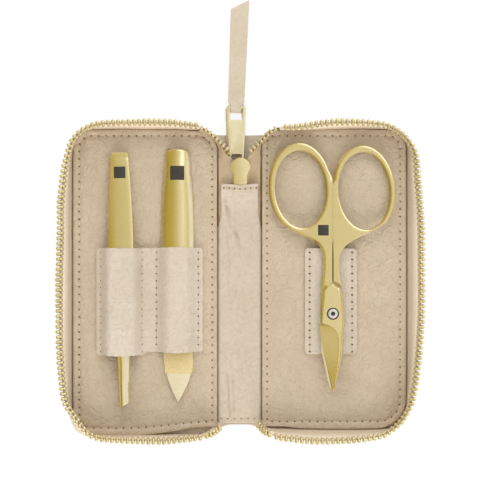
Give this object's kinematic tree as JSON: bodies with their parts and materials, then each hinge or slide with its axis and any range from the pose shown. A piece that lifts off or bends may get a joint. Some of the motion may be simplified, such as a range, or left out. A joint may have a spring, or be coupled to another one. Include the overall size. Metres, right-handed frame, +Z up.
{
  "type": "manicure set case",
  "caption": "Zip-round leather manicure case lying open, with slant tweezers, a nail file and nail scissors held in its two halves.",
  "frame": {"origin": "on the table, under the middle of the spine of the open case", "axes": "+X to the half with the scissors, +Y along the spine to the zip's pull strap, +Z up out of the open case"},
  "size_m": [0.131, 0.1586, 0.0106],
  "materials": {
    "outer_leather": "fine pebbled beige leather",
    "lining_leather": "pebbled beige leather with a soft sheen",
    "panel_lining": "matt sueded tan lining",
    "stiff_board": "grey-brown card",
    "zip_tape": "woven beige tape",
    "zip_metal": "polished pale gold",
    "tool_gold": "satin gold-coated stainless steel",
    "file_grit": "fine grit, gold-coated",
    "screw_steel": "turned bare steel",
    "badge_dark": "blank dark enamel"
  },
  "bodies": {
    "spine": {"spine_leather": "outer_leather", "spine_lining": "lining_leather", "left_fold_leather": "outer_leather", "right_fold_leather": "outer_leather", "left_throat_tape": "zip_tape", "right_throat_tape": "zip_tape", "left_throat_teeth": "zip_metal", "right_throat_teeth": "zip_metal", "chain_teeth": "zip_metal", "chain_stop": "zip_metal"},
    "left_half": {"left_cover": "outer_leather", "left_board": "stiff_board", "left_panel": "panel_lining", "left_wall": "lining_leather", "left_tape": "zip_tape", "left_teeth": "zip_metal", "left_row_stop": "zip_metal", "tool_pocket": "lining_leather"},
    "right_half": {"right_cover": "outer_leather", "right_board": "stiff_board", "right_panel": "panel_lining", "right_wall": "lining_leather", "right_tape": "zip_tape", "right_teeth": "zip_metal", "right_row_stop": "zip_metal", "scissors_band": "lining_leather"},
    "slider": {"zip_slider": "zip_metal"},
    "puller": {"zip_puller": "zip_metal"},
    "strap": {"pull_strap": "outer_leather"},
    "tweezers": {"tweezers_lower_arm": "tool_gold"},
    "tweezers_arm": {"tweezers_upper_arm": "tool_gold", "tweezers_badge": "badge_dark"},
    "file": {"file_handle": "tool_gold", "file_blade": "tool_gold", "file_grit_top": "file_grit", "file_grit_back": "file_grit", "file_badge": "badge_dark"},
    "scissors": {"scissors_back_half": "tool_gold", "scissors_screw": "screw_steel"},
    "scissors_front": {"scissors_front_half": "tool_gold", "scissors_badge": "badge_dark"}
  },
  "joints": [
    {"name": "left_fold", "type": "hinge", "parent": "spine", "child": "left_half", "pos_m": [-0.0079, 0, 0.0024], "axis": [0, 1, 0], "range_deg": [0, 90], "deforming": ["left_fold_leather", "left_throat_tape", "left_throat_teeth"]},
    {"name": "right_fold", "type": "hinge", "parent": "spine", "child": "right_half", "pos_m": [0.0079, 0, 0.0024], "axis": [0, -1, 0], "range_deg": [0, 90], "deforming": ["right_fold_leather", "right_throat_tape", "right_throat_teeth"]},
    {"name": "slider_run", "type": "slide", "parent": "spine", "child": "slider", "axis": [0, 0.9703, 0.2419], "range_m": [0, 0.002]},
    {"name": "puller_hinge", "type": "hinge", "parent": "slider", "child": "puller", "pos_m": [-0.0011, 0.04344, 0.00271], "axis": [1, 0, 0], "range_deg": [0, 8]},
    {"name": "strap_hinge", "type": "hinge", "parent": "puller", "child": "strap", "pos_m": [-0.0011, 0.06281, 0.00215], "axis": [1, 0, 0], "range_deg": [0, 75]},
    {"name": "tweezers_out", "type": "slide", "parent": "left_half", "child": "tweezers", "axis": [0, 0.7071, 0.7071], "range_m": [0, 0.1], "deforming": ["tool_pocket"]},
    {"name": "tweezers_squeeze", "type": "hinge", "parent": "tweezers", "child": "tweezers_arm", "pos_m": [-0.04225, 0.0435, 0.0046], "axis": [0.9998, 0.0175, 0], "range_deg": [0, 1.6], "stiffness_Nm_per_rad": 4.5},
    {"name": "file_out", "type": "slide", "parent": "left_half", "child": "file", "axis": [0, 0.7071, 0.7071], "range_m": [0, 0.1], "deforming": ["tool_pocket"]},
    {"name": "scissors_out", "type": "slide", "parent": "right_half", "child": "scissors", "axis": [0, 0, 1], "range_m": [0, 0.1]},
    {"name": "scissors_pivot", "type": "hinge", "parent": "scissors", "child": "scissors_front", "pos_m": [0.0333, -0.0112, 0.00654], "axis": [0, 0.0295, 0.9996], "range_deg": [0, 35]}
  ],
  "couplings": [
    {"joint": "scissors_pivot", "follows": "scissors_out", "rad_per_m": 6.1}
  ]
}
